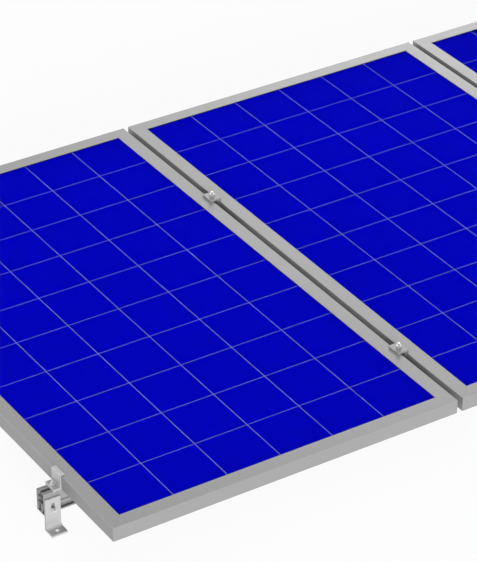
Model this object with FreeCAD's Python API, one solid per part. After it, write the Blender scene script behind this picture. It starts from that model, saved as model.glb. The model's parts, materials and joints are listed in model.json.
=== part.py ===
"""Flush mount solar rack: three framed solar panels side by side on two aluminium rails.

The rails stand on L feet. Mid clamps hold the panels in the gaps between them, and end clamps hold
the outer edges. X runs along the rails, Y from the near edge of the panels to the far edge, and Z up
from the roof. The origin is the middle of the array on the roof. All sizes are in millimetres.
"""

import FreeCAD, Part
import math
import os

from FreeCAD import Vector

# Panels
panel_names = ("left", "middle", "right")
panel_width = 992.0
panel_length = 1650.0
panel_gap = 16.0

# Panel frame section
frame_height = 40.0
frame_wall = 2.0
frame_lip_width = 40.0
frame_lip_thickness = 2.0
frame_foot_width = 28.0
frame_edge_bevel = 0.8
chamber_width = 14.0
chamber_floor_height = 16.0
chamber_wall = 1.8
frame_slot_length = 14.0
frame_slot_width = 9.0
frame_slot_inset = 395.0
corner_key_leg = 55.0
corner_key_play = 0.2
corner_key_bevel = 2.0

# Laminate
glass_thickness = 3.2
cell_thickness = 0.6
backsheet_thickness = 0.5
laminate_edge_play = 1.0
laminate_seat_play = 0.3
cell_columns = 6
cell_rows = 10
cell_gap = 2.4
cell_tuck = 8.0

# Junction box on the back of each panel
box_width = 110.0
box_length = 90.0
box_depth = 19.0
box_wall = 2.4
box_corner_bevel = 8.0
box_far_inset = 160.0
box_cover_thickness = 2.6
box_cover_overhang = 1.5
gland_size = 15.0
gland_length = 13.0
gland_bore = 6.4
gland_spacing = 56.0

# Rails
rail_width = 34.0
rail_height = 61.0
rail_wall = 2.0
rail_overhang = 49.0
rail_standoff = 44.0
front_rail_setback = 268.0
rear_rail_setback = 1175.0
top_channel_mouth = 10.0
top_channel_lip = 3.0
top_channel_hook_width = 2.0
top_channel_hook_depth = 3.0
top_channel_floor_depth = 17.0
side_channel_low_hook = 2.5
side_channel_mouth = 14.8
side_channel_high_hook = 6.9
side_channel_lip = 3.0
side_channel_depth = 12.0
side_groove_height = 2.6
side_groove_depth = 4.0
rail_top_bevel = 0.6
rail_foot_bevel = 1.0

# L feet
feet_per_rail = 3
foot_width = 42.0
foot_leg_height = 91.0
foot_base_length = 38.0
foot_thickness = 6.0
foot_inner_radius = 10.0
foot_heel_bevel = 2.0
foot_edge_bevel = 1.2
foot_end_inset = 1.0
foot_slot_width = 9.0
foot_slot_length = 26.5
foot_slot_top_gap = 14.0
foot_hole_diameter = 9.0
foot_hole_toe_inset = 15.0
foot_groove_count = 5
foot_groove_pitch = 2.0
foot_groove_depth = 0.6
foot_groove_first = 4.0

# T bolts and nuts, M8
screw_diameter = 8.0
thread_play = 0.1
hole_play = 0.3
t_head_length = 23.0
t_head_width = 9.6
t_head_thickness = 4.0
t_head_bevel = 2.0
foot_bolt_length = 20.0
end_bolt_length = 25.0
mid_bolt_length = 65.0
nut_size = 13.0
nut_height = 6.8

# Clamps
clamp_length = 42.0
clamp_lap = 9.0
clamp_play = 0.3
clamp_edge_bevel = 0.8
end_clamp_lip = 4.0
end_clamp_wall = 3.7
end_clamp_reach = 22.5
end_clamp_base_height = 7.0
end_clamp_relief = 2.0
end_clamp_heel = 4.0
end_clamp_bolt_offset = 14.0
end_clamp_inner_bevel = 1.5
mid_clamp_plate = 5.0
mid_clamp_leg = 2.2
mid_clamp_inner_bevel = 1.0
mid_clamp_leg_depth = 24.0

# How far a cutter runs past the faces that it cuts
overrun = 1.0

# Edges shorter than this are left out of an outline
tiny = 1e-6

# Places worked out from the sizes above
panel_pitch = panel_width + panel_gap
array_width = len(panel_names) * panel_pitch - panel_gap
near_edge = -panel_length / 2
rail_length = array_width + 2 * rail_overhang
rail_top = rail_standoff + rail_height
frame_top = rail_top + frame_height
laminate_thickness = glass_thickness + cell_thickness + backsheet_thickness
glass_top = frame_top - frame_lip_thickness
shelf_height = frame_height - frame_lip_thickness - laminate_thickness - laminate_seat_play
rail_centres = {
    "front": near_edge + front_rail_setback,
    "rear": near_edge + rear_rail_setback,
}
side_channel_top = rail_wall + side_channel_low_hook + side_channel_mouth + side_channel_high_hook
t_bolt_height = rail_standoff + (rail_wall + side_channel_top) / 2
foot_end_centre = rail_length / 2 - foot_end_inset - foot_width / 2
gap_centres = [
    -array_width / 2 + index * panel_pitch - panel_gap / 2 for index in range(1, len(panel_names))
]
end_clamp_bolt_x = array_width / 2 + end_clamp_bolt_offset


def rounded(a, b, radius):
    """A corner of an outline, rounded by the radius."""
    return (a, b, radius, True)


def bevelled(a, b, size):
    """A corner of an outline, cut off at the size along both of its sides."""
    return (a, b, size, False)


def closed_wire(corners):
    """A closed outline. A corner is (a, b) where it is sharp, or is rounded or bevelled."""
    stretches = []
    for index, corner in enumerate(corners):
        here = Vector(corner[0], corner[1], 0)
        if len(corner) == 2:
            stretches.append((here, None, here))
            continue
        size, is_round = corner[2:]
        last = corners[index - 1]
        following = corners[(index + 1) % len(corners)]
        back = (Vector(last[0], last[1], 0) - here).normalize()
        onward = (Vector(following[0], following[1], 0) - here).normalize()
        reach = size
        crown = None
        if is_round:
            half_angle = back.getAngle(onward) / 2
            reach = size / math.tan(half_angle)
            inward = (back + onward).normalize()
            crown = here + inward * (size / math.sin(half_angle) - size)
        stretches.append((here + back * reach, crown, here + onward * reach))
    edges = []
    for index, (start, crown, end) in enumerate(stretches):
        if crown is not None:
            edges.append(Part.Arc(start, crown, end).toShape())
        elif (end - start).Length > tiny:
            edges.append(Part.LineSegment(start, end).toShape())
        next_start = stretches[(index + 1) % len(stretches)][0]
        if (next_start - end).Length > tiny:
            edges.append(Part.LineSegment(end, next_start).toShape())
    return Part.Wire(edges)


def section(corners, holes=()):
    """A flat face in the XY plane with the given outline and holes."""
    face = Part.Face(closed_wire(corners))
    for hole in holes:
        face = face.cut(Part.Face(closed_wire(hole)))
    return face.Faces[0]


def along_z(corners, length, holes=()):
    """A prism whose section lies in XY, from z = 0 up to the length."""
    return section(corners, holes).extrude(Vector(0, 0, length))


def along_y(corners, length, holes=()):
    """A prism whose section is (x, z), from y = 0 to the length."""
    prism = section(corners, holes).extrude(Vector(0, 0, -length))
    prism.rotate(Vector(), Vector(1, 0, 0), 90)
    return prism


def along_x(corners, length, holes=()):
    """A prism whose section is (y, z), from x = 0 to the length."""
    prism = section(corners, holes).extrude(Vector(0, 0, length))
    prism.rotate(Vector(), Vector(1, 1, 1), 120)
    return prism


def box_corners(low_a, low_b, high_a, high_b):
    """The four corners of a rectangle."""
    return [(low_a, low_b), (high_a, low_b), (high_a, high_b), (low_a, high_b)]


def bevelled_box_corners(half_a, half_b, size):
    """A rectangle about the origin, with its corners cut off."""
    corners = box_corners(-half_a, -half_b, half_a, half_b)
    return [bevelled(a, b, size) for a, b in corners]


def cylinder(diameter, height, base, axis=Vector(0, 0, 1)):
    """A round bar from its base point along its axis."""
    return Part.makeCylinder(diameter / 2, height, base, axis)


def hexagon(size, height):
    """A hexagonal prism on the origin, with the given size across its flats, two of them facing X."""
    corner_radius = size / math.sqrt(3)
    corners = []
    for index in range(6):
        angle = math.radians(60 * index + 30)
        corners.append((corner_radius * math.cos(angle), corner_radius * math.sin(angle)))
    return along_z(corners, height)


def slot_cutter(length, width, depth):
    """A round-ended slot centred on the origin, with its length along X, from z = 0 up."""
    corners = box_corners(-length / 2, -width / 2, length / 2, width / 2)
    return along_z([rounded(a, b, width / 2) for a, b in corners], depth)


def moved(shape, x=0.0, y=0.0, z=0.0):
    """A copy of the shape at another place."""
    copy = shape.copy()
    copy.translate(Vector(x, y, z))
    return copy


def turned(shape, angle, axis=Vector(0, 0, 1)):
    """A copy of the shape turned about an axis through the origin, by an angle in degrees."""
    copy = shape.copy()
    copy.rotate(Vector(), axis, angle)
    return copy


def rail_section():
    """The rail's outline and chambers, as (y, z) with y from the rail's centre and z from its foot.

    The top channel takes the T bolts of the clamps. The side channel, on the near side, takes those
    of the feet.
    """
    half = rail_width / 2
    near = -half
    inner = half - rail_wall
    mouth = top_channel_mouth / 2
    hook = mouth + top_channel_hook_width
    lip_under = rail_height - top_channel_lip
    hook_under = lip_under - top_channel_hook_depth
    floor = rail_height - top_channel_floor_depth
    low_hook = rail_wall + side_channel_low_hook
    high_hook = low_hook + side_channel_mouth
    web_top = side_channel_top + rail_wall
    groove_top = web_top + side_groove_height
    side_back = near + side_channel_depth
    outline = [
        bevelled(half, 0, rail_foot_bevel),
        bevelled(half, rail_height, rail_top_bevel),
        bevelled(mouth, rail_height, rail_top_bevel),
        (mouth, hook_under),
        (hook, hook_under),
        (hook, lip_under),
        (inner, lip_under),
        (inner, floor),
        (-inner, floor),
        (-inner, lip_under),
        (-hook, lip_under),
        (-hook, hook_under),
        (-mouth, hook_under),
        bevelled(-mouth, rail_height, rail_top_bevel),
        bevelled(near, rail_height, rail_top_bevel),
        (near, groove_top),
        (near + side_groove_depth, groove_top),
        (near + side_groove_depth, web_top),
        (near, web_top),
        (near, high_hook),
        (near + side_channel_lip, high_hook),
        (near + side_channel_lip, side_channel_top),
        (side_back, side_channel_top),
        (side_back, rail_wall),
        (near + side_channel_lip, rail_wall),
        (near + side_channel_lip, low_hook),
        (near, low_hook),
        bevelled(near, 0, rail_foot_bevel),
    ]
    jog = near + side_groove_depth + rail_wall
    middle_chamber = [
        (inner, web_top),
        (inner, floor - rail_wall),
        (-inner, floor - rail_wall),
        (-inner, groove_top + rail_wall),
        (jog, groove_top + rail_wall),
        (jog, web_top),
    ]
    low_chamber = box_corners(side_back + rail_wall, rail_wall, inner, side_channel_top)
    return outline, [middle_chamber, low_chamber]


def rail(centre_y):
    """One rail, from end to end of the array and past both sides."""
    outline, chambers = rail_section()
    return moved(along_x(outline, rail_length, chambers), -rail_length / 2, centre_y, rail_standoff)


def foot_section():
    """The L foot's outline, as (y, z) with y from the leg's back face."""
    front = -foot_thickness
    toe = -foot_base_length
    first_crest = foot_leg_height - foot_groove_first
    corners = [
        bevelled(0, 0, foot_heel_bevel),
        (0, first_crest - foot_groove_count * foot_groove_pitch),
    ]
    for index in reversed(range(foot_groove_count)):
        crest = first_crest - index * foot_groove_pitch
        corners.append((-foot_groove_depth, crest - foot_groove_pitch / 2))
        corners.append((0, crest))
    corners += [
        (0, foot_leg_height),
        bevelled(front, foot_leg_height, foot_edge_bevel),
        rounded(front, foot_thickness, foot_inner_radius),
        bevelled(toe, foot_thickness, foot_edge_bevel),
        bevelled(toe, 0, foot_edge_bevel),
    ]
    return corners


def l_foot():
    """An L foot with its leg's back face on y = 0 and its middle on x = 0."""
    body = moved(along_x(foot_section(), foot_width), -foot_width / 2)
    depth = foot_thickness + 2 * overrun
    slot = turned(slot_cutter(foot_slot_length, foot_slot_width, depth), 90)
    slot = turned(slot, 90, Vector(1, 0, 0))
    slot_middle = foot_leg_height - foot_slot_top_gap - foot_slot_length / 2
    hole_y = -foot_base_length + foot_hole_toe_inset
    hole = cylinder(foot_hole_diameter, depth, Vector(0, hole_y, -overrun))
    return body.cut([moved(slot, 0, overrun, slot_middle), hole])


def t_bolt(length):
    """A T bolt along Z, with its head below z = 0 and the head's length along Y.

    Two opposite corners of the head are cut off, so that it can be turned inside a channel.
    """
    half_width = t_head_width / 2
    half_length = t_head_length / 2
    corners = [
        (-half_width, -half_length),
        bevelled(half_width, -half_length, t_head_bevel),
        (half_width, half_length),
        bevelled(-half_width, half_length, t_head_bevel),
    ]
    head = moved(along_z(corners, t_head_thickness), z=-t_head_thickness)
    return head.fuse(cylinder(screw_diameter, length, Vector())).removeSplitter()


def hexagon_nut():
    """A nut on z = 0."""
    bore = cylinder(screw_diameter + 2 * thread_play, nut_height + 2 * overrun, Vector(0, 0, -overrun))
    return hexagon(nut_size, nut_height).cut(bore)


def end_clamp():
    """The end clamp for the array's right side.

    Its base stands on the rail's top face on z = 0, beside the panel's outer face on x = 0.
    """
    wall_outer = clamp_play + end_clamp_wall
    lip_under = frame_height
    lip_top = lip_under + end_clamp_lip
    bevel = clamp_edge_bevel
    outline = [
        (clamp_play, 0),
        (clamp_play + end_clamp_heel, 0),
        (clamp_play + end_clamp_heel, end_clamp_relief),
        (end_clamp_reach - end_clamp_heel, end_clamp_relief),
        (end_clamp_reach - end_clamp_heel, 0),
        (end_clamp_reach, 0),
        bevelled(end_clamp_reach, end_clamp_base_height, bevel),
        bevelled(wall_outer, end_clamp_base_height, end_clamp_inner_bevel),
        bevelled(wall_outer, lip_top, bevel),
        bevelled(-clamp_lap, lip_top, bevel),
        bevelled(-clamp_lap, lip_under, bevel),
        (clamp_play, lip_under),
    ]
    body = moved(along_y(outline, clamp_length), y=-clamp_length / 2)
    hole = cylinder(
        screw_diameter + 2 * hole_play,
        end_clamp_base_height + 2 * overrun,
        Vector(end_clamp_bolt_offset, 0, -overrun),
    )
    return body.cut(hole)


def mid_clamp():
    """The mid clamp. Its plate laps both frames, whose top faces are z = 0, and its legs hang between."""
    half = panel_gap / 2
    leg_outer = half - clamp_play
    leg_inner = leg_outer - mid_clamp_leg
    lap = half + clamp_lap
    bevel = clamp_edge_bevel
    outline = [
        bevelled(lap, 0, bevel),
        bevelled(lap, mid_clamp_plate, bevel),
        bevelled(-lap, mid_clamp_plate, bevel),
        bevelled(-lap, 0, bevel),
        (-leg_outer, 0),
        bevelled(-leg_outer, -mid_clamp_leg_depth, bevel),
        (-leg_inner, -mid_clamp_leg_depth),
        bevelled(-leg_inner, 0, mid_clamp_inner_bevel),
        bevelled(leg_inner, 0, mid_clamp_inner_bevel),
        (leg_inner, -mid_clamp_leg_depth),
        bevelled(leg_outer, -mid_clamp_leg_depth, bevel),
        (leg_outer, 0),
    ]
    body = moved(along_y(outline, clamp_length), y=-clamp_length / 2)
    hole = cylinder(
        screw_diameter + 2 * hole_play, mid_clamp_plate + 2 * overrun, Vector(0, 0, -overrun)
    )
    return body.cut(hole)


def frame_section():
    """The panel frame's outline and chamber, as (inwards, upwards) from its outer bottom corner."""
    slot_top = frame_height - frame_lip_thickness
    bevel = frame_edge_bevel
    outline = [
        bevelled(0, 0, bevel),
        bevelled(frame_foot_width, 0, bevel),
        (frame_foot_width, frame_wall),
        (frame_wall, frame_wall),
        (frame_wall, chamber_floor_height),
        (chamber_width, chamber_floor_height),
        (chamber_width, shelf_height),
        (frame_wall, shelf_height),
        (frame_wall, slot_top),
        (frame_lip_width, slot_top),
        bevelled(frame_lip_width, frame_height, bevel),
        bevelled(0, frame_height, bevel),
    ]
    chamber = box_corners(
        frame_wall,
        chamber_floor_height + chamber_wall,
        chamber_width - chamber_wall,
        shelf_height - chamber_wall,
    )
    return outline, [chamber]


def frame_bar(length):
    """A frame bar along X with its outer face on y = 0, cut to 45 degrees at both ends."""
    outline, chambers = frame_section()
    bar = along_x(outline, length, chambers)
    depth = frame_lip_width + overrun
    mitres = along_z([(0, 0), (length, 0), (length - depth, depth), (depth, depth)], frame_height)
    return bar.common(mitres)


def long_frame_bar():
    """A long frame bar along X, with its slots for direct bolting in the bottom flange."""
    bar = frame_bar(panel_length)
    cutter = slot_cutter(frame_slot_length, frame_slot_width, frame_wall + 2 * overrun)
    slot_y = (frame_wall + frame_foot_width) / 2
    places = (frame_slot_inset, panel_length - frame_slot_inset)
    return bar.cut([moved(cutter, slot_x, slot_y, -overrun) for slot_x in places])


def corner_key():
    """The L key that joins two frame bars at the panel's near left corner, from the corner up."""
    low = frame_wall + corner_key_play
    high = chamber_width - chamber_wall - corner_key_play
    floor = chamber_floor_height + chamber_wall + corner_key_play
    height = shelf_height - chamber_wall - corner_key_play - floor
    corners = [
        (low, low),
        bevelled(corner_key_leg, low, corner_key_bevel),
        bevelled(corner_key_leg, high, corner_key_bevel),
        (high, high),
        bevelled(high, corner_key_leg, corner_key_bevel),
        bevelled(low, corner_key_leg, corner_key_bevel),
    ]
    return moved(along_z(corners, height), z=floor)


def laminate_layer(thickness, top):
    """A full sheet of the laminate, on a panel whose near left corner is the origin."""
    edge = frame_wall + laminate_edge_play
    return Part.makeBox(
        panel_width - 2 * edge,
        panel_length - 2 * edge,
        thickness,
        Vector(edge, edge, top - thickness),
    )


def cell_bounds(count, span):
    """Low and high edges of each cell in a row that fills the opening between the frame's lips."""
    opening = span - 2 * frame_lip_width
    pitch = opening / count
    bounds = []
    for index in range(count):
        low = frame_lip_width + index * pitch + cell_gap / 2
        high = frame_lip_width + (index + 1) * pitch - cell_gap / 2
        if index == 0:
            low = frame_lip_width - cell_tuck
        if index == count - 1:
            high = span - frame_lip_width + cell_tuck
        bounds.append((low, high))
    return bounds


def cells():
    """The solar cells of one panel, in rows and columns under the glass."""
    tiles = []
    bottom = glass_top - glass_thickness - cell_thickness
    for low_x, high_x in cell_bounds(cell_columns, panel_width):
        for low_y, high_y in cell_bounds(cell_rows, panel_length):
            tiles.append(
                Part.makeBox(
                    high_x - low_x, high_y - low_y, cell_thickness, Vector(low_x, low_y, bottom)
                )
            )
    return tiles


def junction_box(top):
    """The junction box's tray, open below, with its two cable glands. Its top face is bonded on."""
    half_width = box_width / 2
    half_length = box_length / 2
    outside = bevelled_box_corners(half_width, half_length, box_corner_bevel)
    inside_bevel = box_corner_bevel - box_wall * (2 - math.sqrt(2))
    inside = bevelled_box_corners(half_width - box_wall, half_length - box_wall, inside_bevel)
    tray = moved(along_z(outside, box_depth), z=-box_depth)
    tray = tray.cut(moved(along_z(inside, box_depth), z=-box_depth - box_wall))
    gland = turned(hexagon(gland_size, box_wall / 2 + gland_length), 90, Vector(1, 0, 0))
    bore_length = box_wall + gland_length + 2 * overrun
    for side in (-1, 1):
        gland_x = side * gland_spacing / 2
        tray = tray.fuse(moved(gland, gland_x, box_wall / 2 - half_length, -box_depth / 2))
        bore_start = Vector(gland_x, box_wall - half_length + overrun, -box_depth / 2)
        tray = tray.cut(cylinder(gland_bore, bore_length, bore_start, Vector(0, -1, 0)))
    return moved(tray.removeSplitter(), z=top)


def junction_cover(top):
    """The junction box's snap-on cover, under the tray."""
    half_width = box_width / 2 + box_cover_overhang
    half_length = box_length / 2 + box_cover_overhang
    corners = bevelled_box_corners(half_width, half_length, box_corner_bevel)
    return moved(along_z(corners, box_cover_thickness), z=top - box_depth - box_cover_thickness)


def export(name, shapes):
    """Writes one node. A node may hold several separate solids."""
    if not isinstance(shapes, list):
        shapes = [shapes]
    solids = [solid for shape in shapes for solid in shape.Solids]
    for solid in solids:
        if not solid.isValid():
            raise ValueError(f"{name} has a solid that is not valid")
    whole = solids[0] if len(solids) == 1 else Part.makeCompound(solids)
    whole.exportStep(f"parts/{name}.step")
    print(name, len(solids), round(whole.Volume))


def export_rails_and_feet():
    """Rails, L feet and the T bolts and nuts that hold the feet to the rails."""
    foot = l_foot()
    bolt = turned(t_bolt(foot_bolt_length), 90, Vector(1, 0, 0))
    nut = turned(hexagon_nut(), 90, Vector(1, 0, 0))
    bolts = []
    nuts = []
    for end, centre_y in rail_centres.items():
        export(f"{end}_rail", rail(centre_y))
        near_face = centre_y - rail_width / 2
        for index in range(feet_per_rail):
            foot_x = -foot_end_centre + index * 2 * foot_end_centre / (feet_per_rail - 1)
            export(f"{end}_foot_{index + 1}", moved(foot, foot_x, near_face))
            bolts.append(moved(bolt, foot_x, near_face + side_channel_lip, t_bolt_height))
            nuts.append(moved(nut, foot_x, near_face - foot_thickness, t_bolt_height))
    export("foot_t_bolts", bolts)
    export("foot_nuts", nuts)


def export_clamps():
    """Mid clamps and end clamps, with the T bolts and nuts that pull them down onto the panels."""
    right_clamp = end_clamp()
    left_clamp = turned(right_clamp, 180)
    between = mid_clamp()
    end_bolt = t_bolt(end_bolt_length)
    mid_bolt = t_bolt(mid_bolt_length)
    nut = hexagon_nut()
    bolt_seat = rail_top - top_channel_lip - top_channel_hook_depth
    end_seat = rail_top + end_clamp_base_height
    mid_seat = frame_top + mid_clamp_plate
    end_bolts = []
    mid_bolts = []
    nuts = []
    for end, rail_y in rail_centres.items():
        export(f"{end}_left_end_clamp", moved(left_clamp, -array_width / 2, rail_y, rail_top))
        export(f"{end}_right_end_clamp", moved(right_clamp, array_width / 2, rail_y, rail_top))
        for bolt_x in (-end_clamp_bolt_x, end_clamp_bolt_x):
            end_bolts.append(moved(end_bolt, bolt_x, rail_y, bolt_seat))
            nuts.append(moved(nut, bolt_x, rail_y, end_seat))
        for index, gap_x in enumerate(gap_centres):
            export(f"{end}_mid_clamp_{index + 1}", moved(between, gap_x, rail_y, frame_top))
            mid_bolts.append(moved(mid_bolt, gap_x, rail_y, bolt_seat))
            nuts.append(moved(nut, gap_x, rail_y, mid_seat))
    export("end_clamp_t_bolts", end_bolts)
    export("mid_clamp_t_bolts", mid_bolts)
    export("clamp_nuts", nuts)


def export_panels():
    """Frame bars, corner keys, laminate and junction box of each panel."""
    short_bar = frame_bar(panel_width)
    long_bar = long_frame_bar()
    bars = {
        "front": moved(short_bar, -panel_width / 2, -panel_length / 2),
        "left": moved(turned(long_bar, -90), -panel_width / 2, panel_length / 2),
    }
    bars["rear"] = turned(bars["front"], 180)
    bars["right"] = turned(bars["left"], 180)
    near_left_key = moved(corner_key(), -panel_width / 2, -panel_length / 2)
    mirrored_key = near_left_key.mirror(Vector(), Vector(1, 0, 0))
    panel_keys = [near_left_key, mirrored_key, turned(near_left_key, 180), turned(mirrored_key, 180)]
    glass = laminate_layer(glass_thickness, glass_top)
    backsheet = laminate_layer(backsheet_thickness, glass_top - glass_thickness - cell_thickness)
    tiles = cells()
    laminate_bottom = glass_top - laminate_thickness
    box_y = panel_length / 2 - box_far_inset
    tray = moved(junction_box(laminate_bottom), y=box_y)
    cover = moved(junction_cover(laminate_bottom), y=box_y)
    keys = []
    for index, name in enumerate(panel_names):
        centre_x = (panel_width - array_width) / 2 + index * panel_pitch
        corner_x = centre_x - panel_width / 2
        for side, bar in bars.items():
            export(f"{name}_panel_{side}_frame", moved(bar, centre_x, 0, rail_top))
        keys += [moved(key, centre_x, 0, rail_top) for key in panel_keys]
        export(f"{name}_panel_glass", moved(glass, corner_x, near_edge))
        export(f"{name}_panel_cells", [moved(tile, corner_x, near_edge) for tile in tiles])
        export(f"{name}_panel_backsheet", moved(backsheet, corner_x, near_edge))
        export(f"{name}_panel_junction_box", moved(tray, centre_x))
        export(f"{name}_panel_junction_cover", moved(cover, centre_x))
    export("frame_corner_keys", keys)


os.makedirs("parts", exist_ok=True)
export_rails_and_feet()
export_clamps()
export_panels()
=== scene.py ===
# %% [markdown]
# # A flush mount rack with three solar panels
# The real object is a row of framed solar panels that lies flat above a roof. Two aluminium rails
# carry the panels, L feet hold the rails up, and clamps pull the panels down onto the rails. Its
# construction was made in a CAD tool and packed as a model in metres. This notebook keeps that
# model where it is and gives it its looks: a camera, light, finishes, and finer pieces where the
# packed ones are plain.

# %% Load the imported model
import json
import math

import bmesh
import bpy
from mathutils import Matrix, Quaternion, Vector


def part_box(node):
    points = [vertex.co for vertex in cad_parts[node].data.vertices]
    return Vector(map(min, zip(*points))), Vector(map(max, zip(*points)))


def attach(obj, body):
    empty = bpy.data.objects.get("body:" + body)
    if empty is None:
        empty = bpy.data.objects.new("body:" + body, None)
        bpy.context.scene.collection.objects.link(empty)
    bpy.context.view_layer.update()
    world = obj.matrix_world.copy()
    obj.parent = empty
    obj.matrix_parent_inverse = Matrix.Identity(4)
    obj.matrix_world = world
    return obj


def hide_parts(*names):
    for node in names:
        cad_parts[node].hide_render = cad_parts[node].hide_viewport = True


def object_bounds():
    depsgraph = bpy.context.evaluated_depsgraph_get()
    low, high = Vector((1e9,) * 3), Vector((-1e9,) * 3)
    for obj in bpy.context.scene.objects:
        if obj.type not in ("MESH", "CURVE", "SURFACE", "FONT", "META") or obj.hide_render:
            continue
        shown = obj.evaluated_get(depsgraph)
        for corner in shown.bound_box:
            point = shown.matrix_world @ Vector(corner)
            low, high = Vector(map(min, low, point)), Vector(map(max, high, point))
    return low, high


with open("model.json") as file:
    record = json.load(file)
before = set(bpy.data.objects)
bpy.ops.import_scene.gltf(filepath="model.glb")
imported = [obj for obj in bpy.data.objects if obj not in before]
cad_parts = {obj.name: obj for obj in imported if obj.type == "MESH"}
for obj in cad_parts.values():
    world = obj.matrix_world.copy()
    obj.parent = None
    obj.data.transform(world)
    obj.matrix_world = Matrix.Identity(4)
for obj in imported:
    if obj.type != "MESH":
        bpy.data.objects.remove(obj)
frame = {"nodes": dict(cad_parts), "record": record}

cad_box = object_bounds()
print(len(frame["nodes"]), "packed nodes, from", tuple(cad_box[0]), "to", tuple(cad_box[1]))

# %% [markdown]
# ## The camera
# The picture looks down at the near left corner of the array from far away, so it has hardly any
# perspective. A short lens close by would bend the long parallel edges of the panels apart. A long
# lens keeps them nearly parallel. The camera was fitted to the grid of solar cells, whose real
# pitch is known.

# %% Camera
camera_place = Vector((-4.16913, -5.62244, 4.25878))
camera_target = Vector((-0.675, -0.0597, 0.145))
camera_roll = math.radians(-0.15)

camera_data = bpy.data.cameras.new("long lens")
camera_data.sensor_width = 36.0
camera_data.lens = 187.1
camera = bpy.data.objects.new("camera", camera_data)
bpy.context.scene.collection.objects.link(camera)
camera.location = camera_place
camera.rotation_mode = "QUATERNION"
level = (camera_target - camera_place).to_track_quat("-Z", "Y")
camera.rotation_quaternion = level @ Quaternion((0, 0, 1), camera_roll)
bpy.context.scene.camera = camera
print("camera", round((camera_target - camera_place).length, 2), "m from the panels")

# %% [markdown]
# ## Wiring nodes
# Every finish below is a small network of nodes. A few helpers keep the cells short: they put a
# value or a link on a socket, calculate, blend two colours, and pick the rays that an eye sees. The
# networks could also be wired by hand in the shader editor.

# %% Helpers for nodes
def put(tree, socket, value):
    """Links a node's output to the socket, or writes a plain value on it."""
    if isinstance(value, bpy.types.NodeSocket):
        tree.links.new(value, socket)
    else:
        socket.default_value = value


def calculate(tree, operation, *values):
    """A Math node on one to three values or outputs."""
    made = tree.nodes.new("ShaderNodeMath")
    made.operation = operation
    for socket, value in zip(made.inputs, values):
        put(tree, socket, value)
    return made.outputs[0]


def blend_colours(tree, share, first, second):
    """A colour that goes from the first to the second as the share goes from 0 to 1."""
    made = tree.nodes.new("ShaderNodeMix")
    made.data_type = "RGBA"
    for title, value in (("Factor_Float", share), ("A_Color", first), ("B_Color", second)):
        socket = next(one for one in made.inputs if one.identifier == title)
        put(tree, socket, value)
    return next(one for one in made.outputs if one.identifier == "Result_Color")


def seen_ray(tree):
    """1 for rays that reach an eye straight, off gloss or through glass, and 0 for the rest."""
    path = tree.nodes.new("ShaderNodeLightPath")
    seen = path.outputs["Is Camera Ray"]
    for kind in ("Is Glossy Ray", "Is Transmission Ray"):
        seen = calculate(tree, "MAXIMUM", seen, path.outputs[kind])
    return seen


print("helpers ready")

# %% [markdown]
# ## Light
# The picture is lit like a product shot, evenly and softly, with hardly a shadow. An even white
# world does most of that. One wide soft lamp stands low in front and a little to the left, so the
# near faces are the lightest and the tops get only a grazing share. It gives matt light alone,
# because its mirror image on the rounded edges would be glaring. Lamps strong enough to turn the
# background white would wash everything out, so the world is white only to rays that an eye sees.

# %% World and main lamp
world_light = 0.62
main_power = 5.5
main_side = (-0.33, -0.92, 0.19)
main_degrees = 22


def soft_lamp(name, power, comes_from, degrees):
    """A far, wide lamp that shines from the given direction. A wider angle gives softer shadows."""
    lamp_data = bpy.data.lights.new(name, "SUN")
    lamp_data.energy = power
    lamp_data.angle = math.radians(degrees)
    lamp = bpy.data.objects.new(name, lamp_data)
    bpy.context.scene.collection.objects.link(lamp)
    lamp.rotation_mode = "QUATERNION"
    lamp.rotation_quaternion = Vector(comes_from).to_track_quat("Z", "Y")
    return lamp


world = bpy.data.worlds.new("white studio")
bpy.context.scene.world = world
world.use_nodes = True
sky = world.node_tree
backdrop = sky.nodes["Background"]
backdrop.inputs["Color"].default_value = (1, 1, 1, 1)
brighter = calculate(sky, "MULTIPLY_ADD", seen_ray(sky), 1 - world_light, world_light)
put(sky, backdrop.inputs["Strength"], brighter)
bpy.context.scene.view_settings.view_transform = "Standard"
main_lamp = soft_lamp("main lamp", main_power, main_side, main_degrees)
main_lamp.visible_glossy = False
print("world", world_light, "and a main lamp", main_degrees, "degrees wide")

# %% [markdown]
# ### Strip lights
# Metal shows its surroundings more than the light that falls on it. In an all white room it would
# be one flat grey. Photographers set long strip lights beside it, so that each face gleams
# differently. One strip stands on the left and behind, for the faces that look left. One lies low
# behind on the right, and makes the top faces lighter towards that side. They are only for the
# gleam of metal, so matt surfaces and what lies behind glass don't see them.

# %% Strip lights
strip_degrees = 15

for name, power, comes_from in (
    ("left strip", 1.6, (-0.6, 0.75, 0.1)),
    ("low strip", 0.67, (0.572, 0.76, 0.309)),
):
    strip = soft_lamp(name, power, comes_from, strip_degrees)
    strip.visible_diffuse = False
    strip.visible_transmission = False
    print(name, power)

# %% [markdown]
# ## Floor
# The rack needs something to stand on. A large pale floor just under the feet catches its soft
# shadow. A plain white floor would look light grey under this light, so most of its brightness is a
# glow that only an eye sees, and the rest keeps the shadow. Its back is clear, so that the rack can
# be looked at from below too.

# %% Finish of the floor
floor_paint = (0.85, 0.85, 0.85, 1)
floor_glow = 0.92

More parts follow.
